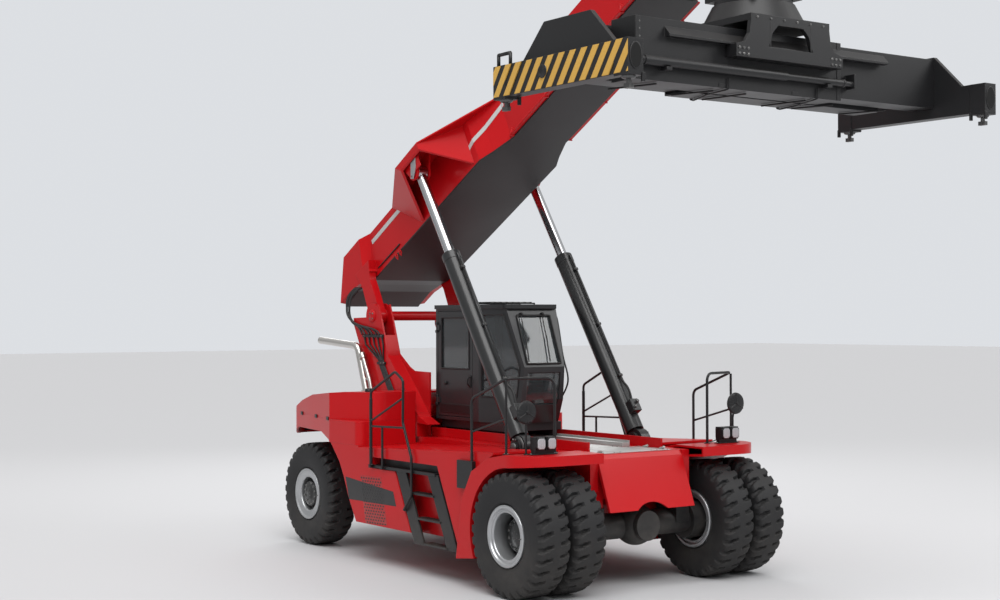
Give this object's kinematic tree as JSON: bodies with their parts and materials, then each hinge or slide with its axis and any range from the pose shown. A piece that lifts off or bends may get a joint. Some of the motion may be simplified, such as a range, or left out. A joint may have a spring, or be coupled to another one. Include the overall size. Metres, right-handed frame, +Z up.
{
  "type": "reach stacker",
  "caption": "Container reach stacker with telescopic boom, sliding cab and telescopic lifting frame with twistlocks.",
  "frame": {"origin": "middle of the machine's box at rest, on the ground", "axes": "+X forward, +Y to the driver's left, +Z up"},
  "size_m": [10.7, 6.063, 8.8753],
  "materials": {
    "body_red": "semi-gloss",
    "chassis_black": "satin",
    "tyre_rubber": "matte",
    "rim_grey": "satin",
    "exhaust_steel": "satin",
    "trim_black": "satin",
    "rail_steel": "worn",
    "cab_grey": "satin",
    "cab_glass": "gloss",
    "seat_black": "matte",
    "frame_grey": "satin",
    "wear_pad": "matte",
    "cylinder_grey": "satin",
    "rod_chrome": "polished",
    "lock_steel": "worn"
  },
  "bodies": {
    "chassis": {"main_frame": "body_red", "boom_towers": "body_red", "boom_pivot_tube": "body_red", "front_fenders": "body_red", "nose_panel": "body_red", "side_bodies": "body_red", "rear_body": "body_red", "engine_hood": "body_red", "counterweight": "chassis_black", "engine_block": "chassis_black", "drive_axle": "chassis_black", "propeller_shaft": "chassis_black", "steer_axle": "chassis_black", "exhaust_pipe": "exhaust_steel", "ladders": "trim_black", "handrails": "trim_black", "work_lamps": "trim_black", "round_mirrors": "trim_black", "cab_rails": "rail_steel", "cylinder_feet": "chassis_black", "tower_hoses": "trim_black", "deck_edges": "body_red"},
    "cab": {"cab_base": "cab_grey", "cab_shell": "cab_grey", "cab_glass": "cab_glass", "cab_seat_and_wheel": "seat_black"},
    "cab_door": {"cab_door": "cab_grey", "door_glass": "cab_glass"},
    "outer_boom": {"boom_outer": "body_red", "boom_belly_plate": "frame_grey", "lift_wings": "body_red", "boom_wear_pads": "wear_pad"},
    "inner_boom": {"boom_inner": "frame_grey", "boom_head": "body_red"},
    "yoke": {"levelling_yoke": "frame_grey"},
    "carriage": {"sideshift_carriage": "frame_grey"},
    "lifting_frame": {"spreader_main": "frame_grey", "telescope_barrels": "frame_grey"},
    "drive_wheels_right": {"drive_tyres_right": "tyre_rubber", "drive_rims_right": "rim_grey"},
    "knuckle_right": {"steer_knuckle_right": "chassis_black"},
    "steer_wheel_right": {"steer_tyre_right": "tyre_rubber", "steer_rim_right": "rim_grey"},
    "lift_barrel_right": {"lift_barrel_right": "cylinder_grey"},
    "lift_rod_right": {"lift_rod_right": "rod_chrome"},
    "arm_right": {"telescopic_arm_right": "frame_grey", "end_beam_right": "frame_grey"},
    "twistlock_right_a": {"twistlock_right_a": "lock_steel"},
    "twistlock_right_b": {"twistlock_right_b": "lock_steel"},
    "drive_wheels_left": {"drive_tyres_left": "tyre_rubber", "drive_rims_left": "rim_grey"},
    "knuckle_left": {"steer_knuckle_left": "chassis_black"},
    "steer_wheel_left": {"steer_tyre_left": "tyre_rubber", "steer_rim_left": "rim_grey"},
    "lift_barrel_left": {"lift_barrel_left": "cylinder_grey"},
    "lift_rod_left": {"lift_rod_left": "rod_chrome"},
    "arm_left": {"telescopic_arm_left": "frame_grey", "end_beam_left": "frame_grey"},
    "twistlock_left_a": {"twistlock_left_a": "lock_steel"},
    "twistlock_left_b": {"twistlock_left_b": "lock_steel"}
  },
  "joints": [
    {"name": "boom_lift", "type": "hinge", "parent": "chassis", "child": "outer_boom", "pos_m": [-3.62, 0, 3.63], "axis": [0, -1, 0], "range_deg": [-29, 31]},
    {"name": "boom_extend", "type": "slide", "parent": "outer_boom", "child": "inner_boom", "axis": [-0.8746, 0, -0.4848], "range_m": [-6, 0]},
    {"name": "yoke_level", "type": "hinge", "parent": "inner_boom", "child": "yoke", "pos_m": [4.1, 0, 8.1], "axis": [0, -1, 0], "range_deg": [-32, 30]},
    {"name": "lift_barrel_right_swing", "type": "hinge", "parent": "chassis", "child": "lift_barrel_right", "pos_m": [0.65, -1.03, 1.83], "axis": [0, -1, 0], "range_deg": [-7, 7]},
    {"name": "lift_rod_right_stroke", "type": "slide", "parent": "lift_barrel_right", "child": "lift_rod_right", "axis": [-0.5543, 0, 0.8323], "range_m": [-1.36, 1.46]},
    {"name": "lift_barrel_left_swing", "type": "hinge", "parent": "chassis", "child": "lift_barrel_left", "pos_m": [0.65, 1.03, 1.83], "axis": [0, -1, 0], "range_deg": [-7, 7]},
    {"name": "lift_rod_left_stroke", "type": "slide", "parent": "lift_barrel_left", "child": "lift_rod_left", "axis": [-0.5543, 0, 0.8323], "range_m": [-1.36, 1.46]},
    {"name": "rotator", "type": "hinge", "parent": "yoke", "child": "carriage", "pos_m": [4.1, 0, 7.4], "axis": [0, 0, 1], "range_deg": [-105, 195]},
    {"name": "side_shift", "type": "slide", "parent": "carriage", "child": "lifting_frame", "axis": [0, 1, 0], "range_m": [-0.8, 0.8]},
    {"name": "arm_left_extend", "type": "slide", "parent": "lifting_frame", "child": "arm_left", "axis": [0, 1, 0], "range_m": [0, 3.066]},
    {"name": "arm_right_extend", "type": "slide", "parent": "lifting_frame", "child": "arm_right", "axis": [0, -1, 0], "range_m": [0, 3.066]},
    {"name": "twistlock_left_a_turn", "type": "hinge", "parent": "arm_left", "child": "twistlock_left_a", "pos_m": [2.9705, 2.9265, 6.3], "axis": [0, 0, 1], "range_deg": [0, 90]},
    {"name": "twistlock_left_b_turn", "type": "hinge", "parent": "arm_left", "child": "twistlock_left_b", "pos_m": [5.2295, 2.9265, 6.3], "axis": [0, 0, 1], "range_deg": [0, 90]},
    {"name": "twistlock_right_a_turn", "type": "hinge", "parent": "arm_right", "child": "twistlock_right_a", "pos_m": [5.2295, -2.9265, 6.3], "axis": [0, 0, 1], "range_deg": [0, 90]},
    {"name": "twistlock_right_b_turn", "type": "hinge", "parent": "arm_right", "child": "twistlock_right_b", "pos_m": [2.9705, -2.9265, 6.3], "axis": [0, 0, 1], "range_deg": [0, 90]},
    {"name": "cab_slide", "type": "slide", "parent": "chassis", "child": "cab", "axis": [1, 0, 0], "range_m": [0, 1.6]},
    {"name": "cab_door_hinge", "type": "hinge", "parent": "cab", "child": "cab_door", "pos_m": [-2.174, -0.604, 2.905], "axis": [0, 0, 1], "range_deg": [-85, 0]},
    {"name": "drive_wheels_left_spin", "type": "hinge", "parent": "chassis", "child": "drive_wheels_left", "pos_m": [1.73, 1.5705, 0.8075], "axis": [0, 1, 0], "continuous": true},
    {"name": "steer_left", "type": "hinge", "parent": "chassis", "child": "knuckle_left", "pos_m": [-4.22, 1.24, 0.8075], "axis": [0, 0, 1], "range_deg": [-45, 45]},
    {"name": "steer_wheel_left_spin", "type": "hinge", "parent": "knuckle_left", "child": "steer_wheel_left", "pos_m": [-4.22, 1.52, 0.8075], "axis": [0, 1, 0], "continuous": true},
    {"name": "drive_wheels_right_spin", "type": "hinge", "parent": "chassis", "child": "drive_wheels_right", "pos_m": [1.73, -1.5705, 0.8075], "axis": [0, 1, 0], "continuous": true},
    {"name": "steer_right", "type": "hinge", "parent": "chassis", "child": "knuckle_right", "pos_m": [-4.22, -1.24, 0.8075], "axis": [0, 0, 1], "range_deg": [-45, 45]},
    {"name": "steer_wheel_right_spin", "type": "hinge", "parent": "knuckle_right", "child": "steer_wheel_right", "pos_m": [-4.22, -1.52, 0.8075], "axis": [0, 1, 0], "continuous": true}
  ],
  "couplings": [
    {"joint": "yoke_level", "follows": "boom_lift", "ratio": -1},
    {"joint": "lift_barrel_right_swing", "follows": "boom_lift", "ratio": 0.195},
    {"joint": "lift_rod_right_stroke", "follows": "boom_lift", "m_per_rad": 2.66},
    {"joint": "lift_barrel_left_swing", "follows": "boom_lift", "ratio": 0.195},
    {"joint": "lift_rod_left_stroke", "follows": "boom_lift", "m_per_rad": 2.66},
    {"joint": "arm_right_extend", "follows": "arm_left_extend", "ratio": 1},
    {"joint": "twistlock_left_b_turn", "follows": "twistlock_left_a_turn", "ratio": 1},
    {"joint": "twistlock_right_a_turn", "follows": "twistlock_left_a_turn", "ratio": 1},
    {"joint": "twistlock_right_b_turn", "follows": "twistlock_left_a_turn", "ratio": 1},
    {"joint": "steer_right", "follows": "steer_left", "ratio": 1}
  ]
}
